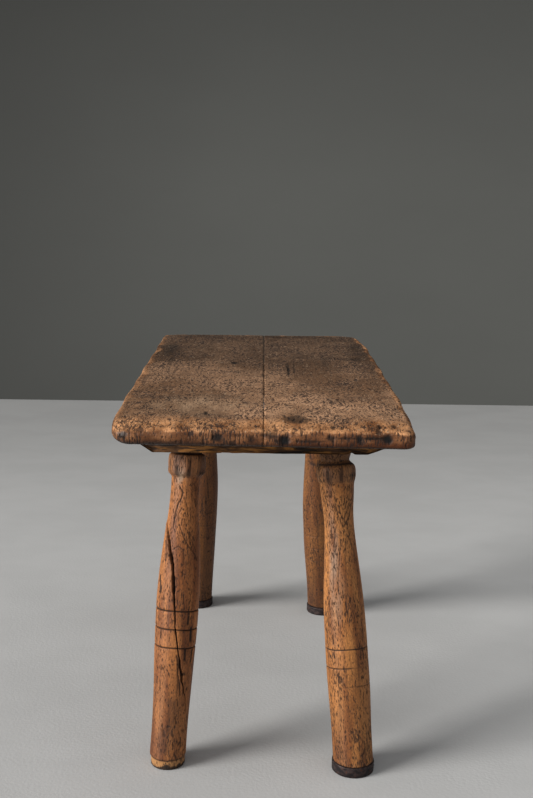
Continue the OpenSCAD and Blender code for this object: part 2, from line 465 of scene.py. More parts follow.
# A board's mesh: distances between its lines across it and along it, and how many there are
# up it. The underside has every third line only. Closer lines lie near its ends and the seam.
ACROSS_STEP = 0.85
ALONG_STEP = 1.6
BOARD_LEVELS = 19
UNDER_STEP = 3
NEAR_END = (0, 0.9, 1.8)
NEAR_SEAM = (0, 0.3, 0.6, 1.1, 1.8)
# Where the right side begins to draw in towards the rear, over what length, and how far
TAPER_START = 165
TAPER_LENGTH = 115
TAPER_DEPTH = 10
# Radius of the seat's corners seen from above, by the sign of x and y
CORNERS = {(-1, -1): 18, (1, -1): 12, (-1, 1): 4, (1, 1): 7}

# Dark knots, bruises and shakes, and one painted shadow line low on the front face: place x, y,
# z, half size along x, y, z, depth, darkness
SEAT_MARKS = (
    (-31.5, 50, 350, 3.5, 9, 30, 0.7, 0.9),
    (28.5, 10, 350, 1.6, 42, 30, 0.7, 0.8),
    (35, 12, 350, 1.3, 38, 30, 0.4, 0.45),
    (108.5, 82, 350, 8, 16, 30, 0.3, 0.45),
    (-112.5, 150, 350, 8, 60, 30, 0.2, 0.45),
    (31, -245, 350, 12, 12, 30, 0.4, 0.75),
    (71, 80, 350, 4, 60, 30, 0.1, 0.3),
    (-104, 60, 350, 3, 32, 30, 0.2, 0.45),
    (3, -25, 350, 4, 7, 30, 0.3, 0.5),
    (-50, -223, 350, 1.6, 8, 30, 0.6, 0.9),
    (-38, -281, 341, 5, 9, 4.5, 0.9, 0.95),
    (-9, -281, 340, 3, 9, 5, 0.4, 0.6),
    (8, -281, 346, 7, 7, 4, 1.2, 0.8),
    (19.5, -281, 340, 5.5, 9, 8, 1.6, 1.0),
    (58.5, -281, 342, 3.5, 9, 3.5, 0.8, 0.85),
    (71, -281, 342, 8, 9, 1.4, 0.5, 0.75),
    # A painted shadow line low on the front face
    (42, -281, 338.5, 16, 9, 1.2, 0.4, 0.7),
    (83, -281, 341, 3.5, 9, 5, 0.9, 0.95),
    (95, -281, 342, 13, 9, 1.5, 0.6, 0.85),
    (106.5, -281, 341, 5, 9, 5, 1.0, 1.0),
    (-121, -279, 343, 5, 9, 5, 0.6, 0.85),
    (99, -275, 348, 2.5, 9, 4, 0.6, 0.8),
    (61, -268, 350, 2.2, 6, 30, 0.6, 0.85),
    (69, -270, 350, 1.5, 4, 30, 0.5, 0.8),
    (101, -265, 350, 1.8, 7, 30, 0.6, 0.85),
    (114, -263, 350, 1.8, 6, 30, 0.5, 0.8),
)

# Places where the pits crowd together, or keep away: x, y, reach along each, and how much
PIT_CROWDS = (
    (-108, -272, 16, 16, 0.3),
    (-109, -213, 14, 40, 0.25),
    (-27, -179, 14, 20, 0.7),
    (13, -91, 12, 18, 0.5),
    (104, -97, 14, 40, 0.25),
    (72, -205, 50, 45, -0.14),
)


def seat_half_width(right, along):
    """Half the width of the worn seat at a distance along it, on its left or its right. The
    left side is worn in near the front, and the right side draws in towards the rear."""
    waves = 0.6 * np.sin(along / 31) + 0.5 * np.sin(along / 13)
    left_side = -2.4 - 1.5 * hump(along, -130, 70) - 2.5 * ramp(along, -240, -275)
    right_side = -1.6 - TAPER_DEPTH * np.clip((along - TAPER_START) / TAPER_LENGTH, 0, 1) ** 1.4
    return SEAT_HALF[0] + waves + np.where(right, right_side, left_side)


def round_seat(points):
    """Rounds a block lattice into the seat's outline and edges. Gives the points, their
    outward directions, and how far in they are from the outline."""
    offset = points - SEAT_MIDDLE
    sign = np.sign(offset)
    aside, along = np.abs(offset[:, 0]), np.abs(offset[:, 1])
    corner = np.zeros(len(points))
    for (side, end), radius in CORNERS.items():
        corner[(side * offset[:, 0] >= 0) & (end * offset[:, 1] >= 0)] = radius
    past_x = aside - (SEAT_HALF[0] - corner)
    past_y = along - (SEAT_HALF[1] - corner)
    in_corner = (past_x > 0) & (past_y > 0)
    turned_x, turned_y = rounded(past_x, past_y)
    aside = np.where(in_corner, aside + turned_x - past_x, aside)
    along = np.where(in_corner, along + turned_y - past_y, along)
    reach = np.hypot(turned_x, turned_y)
    side_gap = SEAT_HALF[0] - aside
    end_gap = SEAT_HALF[1] - along
    inward = np.where(in_corner, corner - reach, np.minimum(side_gap, end_gap))
    nearest_side = side_gap < end_gap
    spread = np.maximum(reach, TINY)
    out_x = np.where(in_corner, turned_x / spread, nearest_side) * sign[:, 0]
    out_y = np.where(in_corner, turned_y / spread, ~nearest_side) * sign[:, 1]

    x = SEAT_MIDDLE[0] + aside * sign[:, 0]
    y = SEAT_MIDDLE[1] + along * sign[:, 1]
    z = points[:, 2]
    # The rim is rounder towards the front, and the lower edge is sharper on the right
    top_radius = 3.5 + 4 * ramp(y, -150, SEAT_LOW[1]) + np.sin(x / 23 + y / 41)
    bottom_radius = 8.5 - 4.5 * x / SEAT_HALF[0]
    upper = z > SEAT_MIDDLE[2]
    radius = np.where(upper, top_radius, bottom_radius)
    out_z = np.where(upper, 1, -1)
    past_side = np.maximum(radius - inward, 0)
    past_flat = np.maximum(out_z * (z - SEAT_MIDDLE[2]) - (SEAT_HALF[2] - radius), 0)
    level, rise = rounded(past_side, past_flat)
    both = (past_side > 0) & (past_flat > 0)
    x = np.where(both, x + out_x * (level - past_side), x)
    y = np.where(both, y + out_y * (level - past_side), y)
    z = np.where(both, z + out_z * (rise - past_flat), z)
    length = np.maximum(np.hypot(past_side, past_flat), TINY)
    outward = np.stack([
        out_x * past_side / length, out_y * past_side / length, out_z * past_flat / length
    ], -1)
    return np.stack([x, y, z], -1), outward, inward


def wear_seat(points):
    """The slow shapes of wear: wavy sides and ends, a dished top, and edges that slope away."""
    x, y, z = points.T
    front = ramp(y, -225, SEAT_LOW[1])
    side = ramp(np.abs(x), SEAT_HALF[0] - 26, SEAT_HALF[0])
    rear = ramp(y, SEAT_HIGH[1] - 30, SEAT_HIGH[1])
    dish = 1.6 * hump(x, -60, 42) * hump(y, -195, 42) + 1.2 * hump(x, 25, 50) * hump(y, -60, 120)
    flat = points * (1, 1, 0)
    drop = 3.4 * front + 1.2 * side + 0.4 * rear + dish
    # The top is wavy but for its rear end, and has a dip in its front edge
    drop += 0.4 * (1 + rough_noise(flat, (45, 70, 45), 3)) * ramp(y, 280, 200)
    drop += 2.2 * hump(x, 14, 12) * ramp(y, -262, SEAT_LOW[1])
    worn_z = z - drop * (z - SEAT_LOW[2]) / (SEAT_HIGH[2] - SEAT_LOW[2])
    worn_x = SEAT_MIDDLE[0] + (x - SEAT_MIDDLE[0]) * seat_half_width(x > SEAM, y) / SEAT_HALF[0]
    end_wave = 0.7 * (1 + noise(flat, (26, 400, 1), 5)) * np.abs(y) / SEAT_HALF[1]
    worn_y = y - np.sign(y) * end_wave
    return np.stack([worn_x, worn_y, worn_z], -1)


def seat_pits(points, outward, pale):
    """How pitted the seat is, from 0 to 1: open pores along the grain, thick in some places
    and absent in others, and slits where they come out at the front."""
    x, y = points[:, 0], points[:, 1]
    # How far each point faces up, to the front and to a side
    top = ramp(outward[:, 2], 0.35, 0.8)
    front = ramp(-outward[:, 1], 0.35, 0.8)
    side = ramp(np.abs(outward[:, 0]), 0.5, 0.9)
    wander = np.stack([4 * noise(points, (16, 22, 16), 12), 7 * noise(points, 12, 13), 0 * x], -1)
    crowding = 0.30 * noise(points, (38, 60, 38), 14) + 0.16 * noise(points, (12, 18, 12), 15)
    crowding += 0.16 * ramp(y, -235, -262) - 0.6 * pale
    for middle_x, middle_y, reach_x, reach_y, amount in PIT_CROWDS:
        crowding += amount * hump(x, middle_x, reach_x) * hump(y, middle_y, reach_y)
    pores = noise(points + wander, (1.9, 5.5, 3.0), 21) + 0.35 * noise(points, (1.3, 3, 2), 22)
    slits = noise(points, (1.7, 14, 7), 31) + 0.3 * noise(points, (1.4, 9, 4), 32)
    pits = ramp(pores + crowding, 0.5, 0.85) * (top + 0.6 * side)
    pits += ramp(slits + crowding, 0.62, 0.85) * front
    return np.clip(pits, 0, 1)


def seat_marks(points):
    """How hollow and how black the large knots, bruises and shakes, and a painted shadow line low
    on the front face, make the seat.
    """
    hollow = np.zeros(len(points))
    black = np.zeros(len(points))
    edge = 1 + 0.5 * noise(points, (3, 7, 3), 41) + 0.3 * noise(points, (1.5, 4, 1.8), 42)
    for *place, wide, long, tall, depth, darkness in SEAT_MARKS:
        away = (((points - place) / (wide, long, tall)) ** 2).sum(axis=1)
        strength = np.exp(-((away * edge) ** 2.5))
        hollow = np.maximum(hollow, depth * strength)
        black = np.maximum(black, darkness * strength)
    return hollow, black


def seat_detail(points, outward, inward):
    """How deep the surface is carved, and attributes: how carved, worn and pale it is, how much
    real stains, grime and painted shade darken it, and how much of it is end grain."""
    x, y, z = points.T
    top = ramp(outward[:, 2], 0.35, 0.8)
    edges = ramp(outward[:, 2], 0.7, 0.2)
    # A pale patch at the left of the front
    pale = hump(x, -63, 36) * hump(y, -188, 36) * (0.7 + 0.5 * noise(points, (14, 40, 14), 8))
    pale = np.clip(pale, 0, 1) * top
    carved = seat_pits(points, outward, pale)
    hollow, black = seat_marks(points)
    # The front end and the sides are worn down to warmer wood
    ragged = 9 * rough_noise(points, (9, 14, 9), 52)
    worn_end = ramp(y + ragged, SEAT_LOW[1] + 44, SEAT_LOW[1] + 18)
    worn_side = ramp(inward + 0.5 * ragged, 8, 2) * (0.55 + 0.45 * ramp(x, -60, 60))
    worn = np.maximum(worn_end, worn_side) * ramp(z, 326, 340)
    # Grime and painted shade darken the faces under the rim, more of it on the right
    low = z + 2 * noise(points, (9, 22, 4), 54)
    grime_and_shade = 0.8 * ramp(low, 348.5, 345.5) + 0.2 * ramp(low, 341, 335)
    turned = outward[:, 2] + 0.12 * rough_noise(points, (8, 22, 6), 55)
    grime_and_shade *= ramp(turned, 0.95, 0.7) * (0.88 + 0.12 * ramp(x, -10, 40))
    depth = 0.4 * carved + hollow + 0.12 * (1 + noise(points, (3.2, 40, 3.2), 61)) * top
    depth += 0.25 * (1 + rough_noise(points, (11, 30, 6), 63)) * edges
    end = ramp(np.abs(outward[:, 1]), 0.4, 0.75)
    # Painted shade darkens the underside near its edges
    underside_shade = 0.75 * ramp(outward[:, 2], -0.3, -0.85) * ramp(inward, 16, 8)
    stain_and_shade = np.maximum(black, underside_shade)
    return depth, {
        "carved": carved, "worn": worn, "stain_and_shade": stain_and_shade, "grime_and_shade": grime_and_shade, "pale": pale, "end": end
    }


def seat_material():
    """Grey-brown open-grained wood, orange where it is worn, darkened by painted shade towards the
    rear and by grime and painted shade under the rim, with painted glints.
    """
    wood = Shader("seat_wood")
    place = wood.place()
    drift = wood.vector("SUBTRACT", wood.noise(place, (60, 40, 60)), (0.5, 0.5, 0.5))
    leaning = wood.vector("ADD", place, wood.vector("MULTIPLY", drift, (0.016, 0.01, 0)))
    carved = wood.attribute("carved")
    pale = wood.attribute("pale")

    tone = wood.noise(place, (13, 8, 13), detail=4.0)
    colour = wood.mix(wood.ramp(tone, 0.38, 0.62), srgb(116, 84, 59), srgb(180, 138, 105))
    blotches = wood.noise(place, (11, 17, 11), detail=6.0, roughness=0.75)
    blotched = wood.ramp(blotches, 0.52, 0.66, 0.0, 0.6)
    colour = wood.mix(blotched, colour, srgb(66, 48, 38))
    colour = wood.mix(pale, colour, srgb(164, 134, 106))
    # Painted shade: the wood darkens towards the rear end
    back = wood.ramp(wood.along(place, (0, 1, 0)), -0.22, 0.2, 1.16, 0.31)
    colour = wood.tint(colour, back)
    amber = wood.noise(place, (60, 25, 60))
    warm = wood.mix(wood.ramp(amber, 0.35, 0.65), srgb(126, 80, 45), srgb(202, 146, 100))
    colour = wood.mix(wood.attribute("worn"), colour, warm)
    # Grime and painted shade darken the faces under the rim
    grimy_and_shaded = wood.tint(colour, srgb(112, 84, 54))
    colour = wood.mix(wood.attribute("grime_and_shade"), colour, grimy_and_shaded)
    fibres = wood.noise(leaning, (900, 40, 900))
    colour = wood.tint(colour, wood.ramp(fibres, 0.3, 0.7, 0.72, 1.25))

    zones = wood.ramp(wood.noise(place, (26, 17, 26)), 0.3, 0.7, -0.07, 0.05)
    zones = wood.minus(zones, wood.times(pale, 0.05))
    fine = wood.noise(leaning, (1000, 240, 620), detail=2.0)
    coarse = wood.noise(leaning, (520, 130, 330))
    fine_pits = wood.ramp(wood.plus(fine, zones), 0.54, 0.62)
    coarse_pits = wood.ramp(wood.plus(coarse, zones), 0.55, 0.62)
    pores = wood.larger(wood.times(fine_pits, 0.7), coarse_pits)
    slits = wood.noise(place, (760, 90, 150), detail=2.0)
    slits = wood.ramp(wood.plus(slits, zones), 0.56, 0.61)
    end = wood.attribute("end")
    slits = wood.times(slits, end)
    pores = wood.times(pores, wood.minus(1.0, end))
    hollows = wood.ramp(carved, 0.3, 0.9, 0.0, 0.8)
    pits = wood.larger(wood.plus(pores, slits), hollows)
    # Painted glints: pale specks that stand in for highlights, none on the grimy faces
    painted_glints = wood.ramp(wood.noise(leaning, (800, 200, 500), detail=2.0), 0.6, 0.7, 0.0, 0.45)
    painted_glints = wood.times(painted_glints, wood.minus(1.0, wood.attribute("grime_and_shade")))
    colour = wood.mix(painted_glints, colour, srgb(206, 178, 148))
    colour = wood.mix(wood.times(pits, 0.88), colour, srgb(44, 32, 27))
    # Real stains, and painted shade on the underside, darken towards near black
    colour = wood.mix(wood.attribute("stain_and_shade"), colour, srgb(9, 7, 7))

    roughness = wood.ramp(pits, 0.0, 1.0, 0.5, 0.85)
    height = wood.minus(wood.times(fibres, 0.3), pits)
    return wood.finish(colour, roughness, height, 0.0005, specular=0.25)


def make_boards():
    """The two seat boards, each the seat's shape on its own side of the seam."""
    material = seat_material()
    ys = lines(SEAT_LOW[1], SEAT_HIGH[1], ALONG_STEP, UNDER_STEP, NEAR_END, NEAR_END)
    zs = np.linspace(SEAT_LOW[2], SEAT_HIGH[2], BOARD_LEVELS)
    spans = {
        "left": lines(SEAT_LOW[0], SEAM - SEAM_GAP, ACROSS_STEP, UNDER_STEP, near_high=NEAR_SEAM),
        "right": lines(SEAM + SEAM_GAP, SEAT_HIGH[0], ACROSS_STEP, UNDER_STEP, near_low=NEAR_SEAM),
    }
    for side, xs in spans.items():
        node = f"seat_board_{side}"
        lattice, faces = block_lattice(xs, ys, zs, UNDER_STEP)
        points, outward, inward = round_seat(lattice)
        depth, attributes = seat_detail(points, outward, inward)
        # Both edges along the seam are worn away
        from_seam = np.abs(lattice[:, 0] - SEAM)
        depth += (0.7 + 0.6 * noise(points, (9, 25, 9), 71)) * hump(from_seam, SEAM_GAP, 0.7)
        points = wear_seat(points - outward * depth[:, None])
        make_piece(f"{node}_worn", points, faces, material, node, attributes)


# ---------------- battens

# Length and height of the worn bevel under each batten's left and right end
BATTEN_BEVELS = {"front": ((17, 11), (20, 7)), "rear": ((18, 9), (16, 10))}
# Distance between the lines of a batten's mesh
BATTEN_STEP = 1.0


def batten_material():
    """Rough golden-brown wood with black cracks along it."""
    wood = Shader("batten_wood")
    place = wood.place()
    streaks = wood.noise(place, (30, 300, 380), detail=5.0, roughness=0.65)
    colour = wood.mix(wood.ramp(streaks, 0.42, 0.62), srgb(66, 42, 22), srgb(150, 100, 46))
    patches = wood.noise(place, (45, 60, 90), detail=4.0, roughness=0.6)
    colour = wood.mix(wood.ramp(patches, 0.46, 0.6, 0.0, 0.8), colour, srgb(62, 40, 24))
    cracks = wood.noise(place, (40, 420, 520))
    black = wood.larger(wood.ramp(cracks, 0.54, 0.62), wood.attribute("carved"))
    colour = wood.mix(wood.times(black, 0.92), colour, srgb(20, 14, 9))
    fibres = wood.noise(place, (60, 1100, 1100), detail=2.0)
    height = wood.minus(wood.plus(streaks, fibres), black)
    return wood.finish(colour, wood.ramp(fibres, 0.3, 0.7, 0.75, 0.9), height, 0.0008)


def roughen_batten(points, low, high, bevels):
    """Splits and gouges along a batten, deepest at its lower edges, and bevels under its
    ends. Gives the new points and how deep in a split each one is, from 0 to 1."""
    x, y, z = points.T
    middle = (low + high) / 2
    share = (high[2] - z) / (high[2] - low[2])
    at_end = np.isclose(np.abs(x - middle[0]), high[0] - middle[0])
    at_side = np.isclose(np.abs(y - middle[1]), high[1] - middle[1])
    splits = ramp(rough_noise(points, (30, 3.4, 3.4), 84), 0.2, 0.55)
    notches = ramp(noise(points, (6, 12, 9), 86), 0.3, 0.75)
    depth = 0.8 * (1 + rough_noise(points, (24, 5, 5), 81)) + 1.3 * splits
    depth += 1.6 * ramp(share, 0.5, 1.0) * (1 + noise(points, (13, 30, 9), 88))
    x = x - at_end * np.sign(x - middle[0]) * depth
    y = y - at_side * np.sign(y - middle[1]) * depth
    # Where a leg enters it, the underside is left alone
    nearest_leg = np.min([
        np.hypot(x - axis.socket[0], y - axis.socket[1]) for axis in AXES.values()
    ], axis=0)
    clear = ramp(nearest_leg, 18, 40)
    lift = clear * (0.4 * (1 + rough_noise(points * (1, 1, 0), (16, 26, 1), 91)) + 1.8 * notches)
    for sign, (length, height) in zip((-1, 1), bevels):
        from_end = high[0] - middle[0] - sign * (x - middle[0])
        ragged = height + 1.2 * noise(points, (7, 9, 9), 93)
        lift = np.maximum(lift, ragged * np.clip(1 - from_end / length, 0, 1))
    carved = np.clip((splits + 0.5 * notches) * (at_side | at_end), 0, 1)
    return np.stack([x, y, z + lift * share], -1), carved


def make_battens():
    """The two battens under the seat."""
    material = batten_material()
    for end, bevels in BATTEN_BEVELS.items():
        node = f"batten_{end}"
        low, high = node_box(node)
        grid = [lines(low[axis], high[axis], BATTEN_STEP, 1) for axis in range(3)]
        points, faces = block_lattice(*grid, 1)
        points, carved = roughen_batten(points, low, high, bevels)
        attributes = {"carved": carved}
        make_piece(f"{node}_worn", points, faces, material, node, attributes)


# ---------------- legs

# A middling radius, at which distances round a leg are measured
STANDARD_RADIUS = 19
# How far the neck runs into the batten
NECK_EMBED = 0.2
# Distance between samples of a leg's outline
OUTLINE_STEP = 0.25
# Grooves this deep and up to twice this many samples wide are rings, on this share of a leg
RING_DEPTH = 0.35
RING_REACH = 5
RINGED_SHARE = 0.86
# Shares of a leg's length between which its cove lies
COVE_SPAN = (0.6, 0.9)
# How much thinner than its widest place the collar is at its two ends
COLLAR_DEPTH = 1.2
# Distances from a ring's middle at which a leg's mesh has rows
RING_ROWS = (-1.2, -0.8, -0.4, 0, 0.4, 0.8, 1.2)
# How rounded each leg's outline is below the middle of its collar, and above it
COLLAR_SOFTNESS = {
    "front_left": (1.3, 0.6),
    "front_right": (2.6, 1.7),
    "rear_left": (1.5, 0.6),
    "rear_right": (2.6, 1.7),
}
# Distances between rows of a leg's mesh, the least there may be, and between columns
ROW_STEP = 0.66
ROW_GAP = 0.15
COLUMN_STEP = 0.78
# Over this length above the foot, rows turn from level to square with the leg's axis
FOOT_BLEND = 25
# Distances from the crack, on either side, of the columns that follow it
CRACK_COLUMNS = (0.25, 0.5, 0.8, 1.15, 1.6, 2.2, 2.9)
# The leg that is split, has a bruised collar and has lost its ferrule
WORN_LEG = "front_left"

# The worn leg's long crack: distance up the leg, and degrees round it to the right from its
# front. Then the crack's half width at distances up the leg.
CRACK_PATH = (
    (237, -94), (226, -62), (215, -42), (205, -31), (193, -18), (184, -14), (172, -10),
    (160, -6), (145, -1), (135, 1), (122, 8), (109, 15), (104, 20), (96, 23), (90, 30),
    (83, 32), (78, 39), (72, 43), (66, 52), (59, 56), (50, 60),
)
CRACK_WIDTH = (
    (50, 0), (57, 0.5), (72, 0.9), (86, 1.2), (103, 1.25), (110, 0.55), (145, 0.6),
    (160, 0.95), (184, 1.1), (200, 1.45), (222, 1.0), (234, 0.5), (238, 0),
)

# Scars on each leg: half width, depth, darkness, and the course, as distances up the leg and
# degrees round it from its front
LEG_SCARS = {
    "front_left": (
        (0.8, 0.6, 0.9, ((267, -20), (261, -4), (256, -8), (249, -22), (240, -29), (227, -33))),
        (0.5, 0.4, 0.8, ((258, 1), (248, 16), (239, 22))),
        (0.6, 0.4, 0.7, ((247, -4), (241, -14), (236, -10))),
        (0.5, 0.5, 0.9, ((231, -8), (220, 8), (212, 25), (204, 48), (197, 60))),
        (0.5, 0.4, 0.7, ((224, 22), (214, 42), (206, 56))),
        (0.5, 0.3, 0.8, ((207, -25), (211, -6), (208, 9), (200, 14), (194, 13))),
        (0.7, 0.4, 0.8, ((189, 13), (183, 11))),
        (0.6, 0.4, 0.8, ((187, 7), (185, 17))),
        (1.5, 0.8, 1.0, ((181, -66), (175, -61), (166, -55))),
        (1.0, 0.5, 0.8, ((214, -56), (204, -48), (196, -44))),
        (1.3, 0.6, 1.0, ((145, 37), (138, 36))),
        (1.7, 0.8, 1.0, ((133, 49), (122, 50))),
        (1.1, 0.6, 1.0, ((113, 35), (104, 35))),
        (1.1, 0.6, 1.0, ((112, 61), (102, 60))),
        (0.7, 0.6, 0.95, ((108, 11), (98, 17), (90, 17), (81, 25), (70, 30))),
        (0.5, 0.3, 0.7, ((100, 14), (86, 19), (70, 20), (60, 26))),
        (5.0, 0.1, 0.45, ((62, 10), (46, 14), (30, -8), (20, -6))),
        (1.2, 0.4, 0.8, ((36, -16), (31, -10))),
        (0.8, 0.4, 0.8, ((50, 22), (43, 24))),
    ),
    "front_right": (
        (0.9, 0.1, 0.75, ((254, -12), (244, -6), (236, 4), (232, 14), (241, 38), (253, 54))),
        (0.9, 0.1, 0.7, ((252, -2), (243, 6), (239, 15), (246, 30), (254, 40))),
        (0.8, 0.1, 0.6, ((253, 6), (248, 14), (249, 22), (255, 28))),
        (0.8, 0.4, 0.9, ((262, -33), (260, -31))),
        (0.7, 0.4, 0.9, ((259, -6), (258.5, -3))),
        (0.5, 0.3, 0.8, ((222, -3), (210, -6), (197, -11), (186, -16), (172, -18))),
        (0.5, 0.3, 0.7, ((232, -22), (214, -26), (196, -30), (176, -33))),
        (1.0, 0.1, 0.4, ((224, 22), (205, 12), (180, 8), (150, 6))),
        (1.0, 0.1, 0.4, ((220, 34), (204, 52), (186, 62))),
        (1.2, 0.5, 0.9, ((111, -56), (109, -52))),
        (1.0, 0.4, 0.8, ((114, -43), (111, -40))),
        (1.3, 0.4, 0.7, ((92, -27), (88, -23))),
        (0.9, 0.3, 0.7, ((66, -32), (63, -28))),
        (1.2, 0.8, 0.9, ((13, -8), (12, -6))),
    ),
    "rear_left": ((0.6, 0.3, 0.6, ((200, 20), (170, 26))),),
    "rear_right": (
        (2.2, 0.3, 0.6, ((216, -34), (214, -6), (218, 12))),
        (2.5, 0.2, 0.45, ((262, -20), (268, 10))),
        (1.5, 0.2, 0.4, ((150, -10), (120, -4))),
    ),
}
# Each leg's incised rings: depth, half width and patchiness, then for each ring from the lowest
# up its darkness, and the direction, in degrees round the leg, in which it is clearest
RINGS = {
    "front_left": (1.4, 0.65, 0.2, ((1.0, 0), (1.0, 0), (1.0, 0))),
    "front_right": (0.45, 0.65, 1.0, ((0.55, 75), (0.85, -60), (1.0, 0))),
    "rear_left": (0.35, 0.7, 0.6, ((0.3, 0), (0.3, 0), (0.3, 0))),
    "rear_right": (0.3, 0.6, 0.6, ((0.25, 0), (0.25, 0), (0.25, 0))),
}
# Pale patches: worn bare on the front left leg, and a painted sheen on the lit left front of the
# front right leg. Height above the cove, distance round the leg from its front, how far each
# way the patch spreads, and how strong it is
BARE_AND_SHEEN_PATCHES = {
    "front_left": (6, -5, 8, 6, 1.0),
    "front_right": (-48, -9, 50, 8, 0.5),
}
# Flats bruised on the worn collar: degrees round it, and distance from the leg's axis
COLLAR_FLATS = ((-62, 16.9), (-20, 16.6), (24, 17.0), (70, 17.2), (150, 17.0), (215, 17.1))


def softened(radius, softness):
    """An outline with its corners rounded off over about this many millimetres."""
    reach = 4 * round(softness / OUTLINE_STEP)
    weights = np.exp(-0.5 * (np.arange(-reach, reach + 1) * OUTLINE_STEP / softness) ** 2)
    return np.convolve(np.pad(radius, reach, mode="edge"), weights / weights.sum(), "valid")


def fill_grooves(radius, reach):
    """Closes every groove narrower than twice reach, counted in samples."""
    def spread(values, pick):
        padded = np.pad(values, reach, mode="edge")
        return pick([padded[k:k + len(values)] for k in range(2 * reach + 1)], axis=0)
    return spread(spread(radius, np.max), np.min)


class Turning:
    """A leg's outline as turned, without its rings, and where the rings, cove and collar are."""

    def __init__(self, leg):
        axis = AXES[leg]
        self.along = np.arange(0, axis.length + 0.01, OUTLINE_STEP)
        cut = np.interp(self.along, *axis.outline)
        ringed = self.along < RINGED_SHARE * axis.length
        self.radius = np.where(ringed, fill_grooves(cut, RING_REACH), cut)
        in_ring = np.flatnonzero((self.radius - cut > RING_DEPTH) & ringed)
        next_ring = np.flatnonzero(np.diff(in_ring) >= RING_REACH) + 1
        self.rings = [self.along[ring].mean() for ring in np.split(in_ring, next_ring)]
        low, high = COVE_SPAN
        upper = (self.along > low * axis.length) & (self.along < high * axis.length)
        self.cove = self.along[upper][np.argmin(self.radius[upper])]
        above_cove = self.along > self.cove
        collar = above_cove & (self.radius > self.radius[above_cove].max() - COLLAR_DEPTH)
        self.collar = self.along[collar].min(), self.along[collar].max()
        below, above = COLLAR_SOFTNESS[leg]
        low_side = self.along < sum(self.collar) / 2
        self.radius = np.where(low_side, softened(self.radius, below), softened(self.radius, above))


def leg_rows(axis, turning):
    """The rows of a leg's mesh from its foot up: distance along the leg, radius, how far the
    row is turned level with the floor, and whether it stands straight over the foot."""
    foot_end = axis.foot_end
    # The foot's end, its rounded rim and its side, then the shoulder above it
    rows = [(0, share * axis.foot_radius, 1, 1) for share in (0.02, 0.35, 0.7, 0.9)]
    for height, inset in ((0, 1.2), (0.4, 0.4), (1.2, 0)):
        rows.append((height, axis.foot_radius - inset, 1, 1))
    rows += [(height, axis.foot_radius, 1, 1) for height in np.arange(2, FOOT_TOP - 0.6, 0.8)]
    rows.append((FOOT_TOP - 0.3, axis.foot_radius, 1, 1))
    foot = np.interp(foot_end, turning.along, turning.radius)
    rows.append((foot_end + 0.05, foot - 0.5, 1, 0))
    # The shaft, with more rows at the rings
    stops = np.concatenate([
        np.arange(foot_end + 0.7, axis.length - 0.5, ROW_STEP),
        *(ring + np.array(RING_ROWS) for ring in turning.rings),
    ])
    stops = np.unique(np.round(stops, 2))
    stops = stops[np.append(True, np.diff(stops) > ROW_GAP)]
    neck_end = np.interp(axis.length, turning.along, turning.radius)
    for stop in stops:
        near_foot = 1 - (stop - foot_end) / FOOT_BLEND
        near_batten = (stop - turning.collar[1]) / (axis.length - turning.collar[1])
        radius = np.interp(stop, turning.along, turning.radius)
        rows.append((stop, radius, max(near_foot, near_batten, 0), 0))
    # The neck's end, then the tenon and its tip
    rows.append((axis.length + NECK_EMBED, neck_end, 1, 0))
    rows.append((axis.length + NECK_EMBED, axis.tenon_radius + 0.3, 1, 0))
    for share in np.linspace(0.05, 0.96, 12):
        stop = axis.length + share * (axis.tip - axis.length)
        rows.append((stop, axis.tenon_radius, 1 - share, 0))
    rows += [(axis.tip, axis.tenon_radius * share, 0, 0) for share in (0.93, 0.6, 0.3, 0.02)]
    return np.array(rows)


def leg_columns(cracked):
    """Angles round a leg, closer together along the crack."""
    count = round(2 * math.pi * STANDARD_RADIUS / COLUMN_STEP)
    if not cracked:
        return np.linspace(-math.pi, math.pi, count, endpoint=False)
    near = np.array(CRACK_COLUMNS) / STANDARD_RADIUS
    rest = np.linspace(near[-1], 2 * math.pi - near[-1], count - len(near) - 1)[1:-1]
    return np.concatenate([-near[::-1], [0], near, rest])


